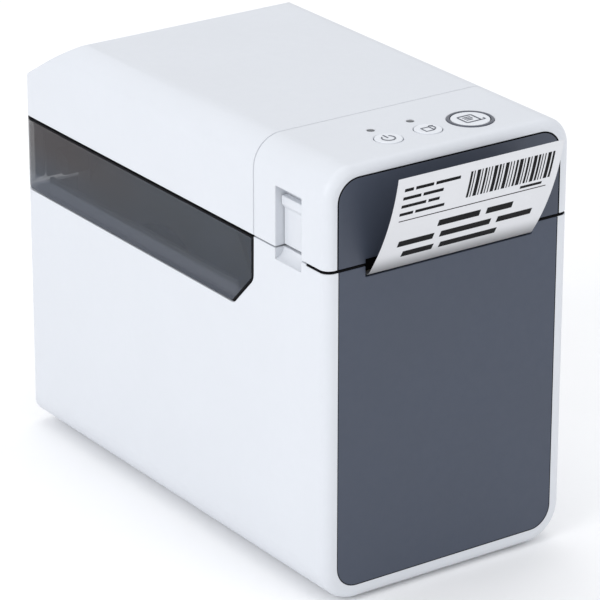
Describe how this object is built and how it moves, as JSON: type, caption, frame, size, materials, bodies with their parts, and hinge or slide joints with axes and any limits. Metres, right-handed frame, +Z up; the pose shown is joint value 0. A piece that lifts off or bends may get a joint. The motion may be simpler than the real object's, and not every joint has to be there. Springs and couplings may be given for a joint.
{
  "type": "desktop label printer",
  "caption": "Desktop direct-thermal label printer: rear-hinged lid with smoked side windows, release levers, keys, roll bay, platen drive and a label in the front slot.",
  "frame": {"origin": "centre of the whole footprint, label included, on the plane the feet rest on", "axes": "+Z up, front face and label towards -Y, +X to the right seen from the front by the viewer"},
  "size_m": [0.112, 0.2316, 0.175],
  "materials": {
    "white_plastic": "fine satin texture",
    "slate_plastic": "fine matte texture",
    "ring_plastic": "gloss",
    "key_plastic": "satin",
    "smoked_window": "clear smoked",
    "grey_plastic": "matte",
    "gear_plastic": "moulded",
    "black_plastic": "matte",
    "lens": "clear grey",
    "soft_rubber": "matt",
    "zinc_steel": "zinc plated",
    "motor_steel": "black coated",
    "brass_pinion": "turned",
    "cast_alloy": "satin",
    "head_ceramic": "glazed ceramic",
    "board": "solder mask",
    "paper": "coated paper",
    "card": "grey board"
  },
  "bodies": {
    "base": {"base_shell": "white_plastic", "front_panel_lower": "slate_plastic", "bottom_plate": "grey_plastic", "rubber_feet": "soft_rubber", "case_screws": "zinc_steel", "hinge_pin": "zinc_steel", "chassis_frame": "zinc_steel", "stepper_motor": "motor_steel", "motor_screws": "zinc_steel", "tear_bar": "zinc_steel", "sensor_bar": "black_plastic", "label_sensor": "black_plastic", "web_guide_rod": "zinc_steel", "media_tray": "grey_plastic", "label_web": "paper", "main_board": "board", "power_inlet": "black_plastic", "usb_socket": "zinc_steel", "network_socket": "zinc_steel", "serial_socket": "zinc_steel"},
    "platen": {"platen_rubber": "soft_rubber", "platen_shaft": "zinc_steel", "platen_gear": "gear_plastic"},
    "idler": {"idler_gear": "gear_plastic"},
    "pinion": {"motor_pinion": "brass_pinion"},
    "guide_l": {"guide_left": "grey_plastic"},
    "guide_r": {"guide_right": "grey_plastic"},
    "centring_pinion": {"guide_pinion": "gear_plastic"},
    "roll": {"roll_core": "card", "label_roll": "paper"},
    "lid": {"lid_cover": "white_plastic", "head_cover": "white_plastic", "front_panel_upper": "slate_plastic", "window_left": "smoked_window", "window_right": "smoked_window", "window_rails": "white_plastic", "lid_frame": "grey_plastic", "print_head": "head_ceramic", "head_bracket": "cast_alloy", "head_springs": "zinc_steel", "control_board": "board", "tact_switches": "black_plastic", "lamp_lenses": "lens", "button_ring": "ring_plastic"},
    "print_key": {"print_button": "key_plastic"},
    "feed_key": {"feed_button": "key_plastic"},
    "power_key": {"power_button": "key_plastic"},
    "latch": {"latch_shaft": "zinc_steel"},
    "lever_l": {"release_left": "white_plastic"},
    "lever_r": {"release_right": "white_plastic"}
  },
  "joints": [
    {"name": "lid_hinge", "type": "hinge", "parent": "base", "child": "lid", "pos_m": [0, 0.1078, 0.1134], "axis": [-1, 0, 0], "range_deg": [0, 85]},
    {"name": "roll_spin", "type": "hinge", "parent": "base", "child": "roll", "pos_m": [0, 0.0373, 0.0812], "axis": [1, 0, 0], "continuous": true},
    {"name": "platen_spin", "type": "hinge", "parent": "base", "child": "platen", "pos_m": [0, -0.0832, 0.1262], "axis": [1, 0, 0], "continuous": true},
    {"name": "idler_spin", "type": "hinge", "parent": "base", "child": "idler", "pos_m": [0.044, -0.07854, 0.10881], "axis": [1, 0, 0], "continuous": true},
    {"name": "motor_spin", "type": "hinge", "parent": "base", "child": "pinion", "pos_m": [0.044, -0.07492, 0.09529], "axis": [1, 0, 0], "continuous": true},
    {"name": "guide_left_slide", "type": "slide", "parent": "base", "child": "guide_l", "axis": [-1, 0, 0], "range_m": [0, 0.008]},
    {"name": "guide_right_slide", "type": "slide", "parent": "base", "child": "guide_r", "axis": [1, 0, 0], "range_m": [0, 0.008]},
    {"name": "guide_pinion_spin", "type": "hinge", "parent": "base", "child": "centring_pinion", "pos_m": [0, 0.0373, 0.0068], "axis": [0, 0, -1], "range_deg": [0, 58]},
    {"name": "print_press", "type": "slide", "parent": "lid", "child": "print_key", "axis": [0, 0, -1], "range_m": [0, 0.0008], "stiffness_N_per_m": 300, "springref_m": -0.0006},
    {"name": "feed_press", "type": "slide", "parent": "lid", "child": "feed_key", "axis": [0, 0, -1], "range_m": [0, 0.0008], "stiffness_N_per_m": 300, "springref_m": -0.0006},
    {"name": "power_press", "type": "slide", "parent": "lid", "child": "power_key", "axis": [0, 0, -1], "range_m": [0, 0.0008], "stiffness_N_per_m": 300, "springref_m": -0.0006},
    {"name": "latch_turn", "type": "hinge", "parent": "lid", "child": "latch", "pos_m": [0, -0.0852, 0.1527], "axis": [1, 0, 0], "range_deg": [0, 13.5], "stiffness_Nm_per_rad": 0.05, "springref_deg": -17.19},
    {"name": "release_left_lift", "type": "slide", "parent": "lid", "child": "lever_l", "axis": [0, 0, 1], "range_m": [0, 0.0035]},
    {"name": "release_right_lift", "type": "slide", "parent": "lid", "child": "lever_r", "axis": [0, 0, 1], "range_m": [0, 0.0035]}
  ],
  "couplings": [
    {"joint": "platen_spin", "follows": "roll_spin", "ratio": 9.7692},
    {"joint": "idler_spin", "follows": "roll_spin", "ratio": -12.212},
    {"joint": "motor_spin", "follows": "roll_spin", "ratio": 16.282},
    {"joint": "guide_right_slide", "follows": "guide_left_slide", "ratio": 1},
    {"joint": "guide_pinion_spin", "follows": "guide_left_slide", "rad_per_m": 125},
    {"joint": "release_left_lift", "follows": "latch_turn", "m_per_rad": 0.0147},
    {"joint": "release_right_lift", "follows": "latch_turn", "m_per_rad": 0.0147}
  ]
}
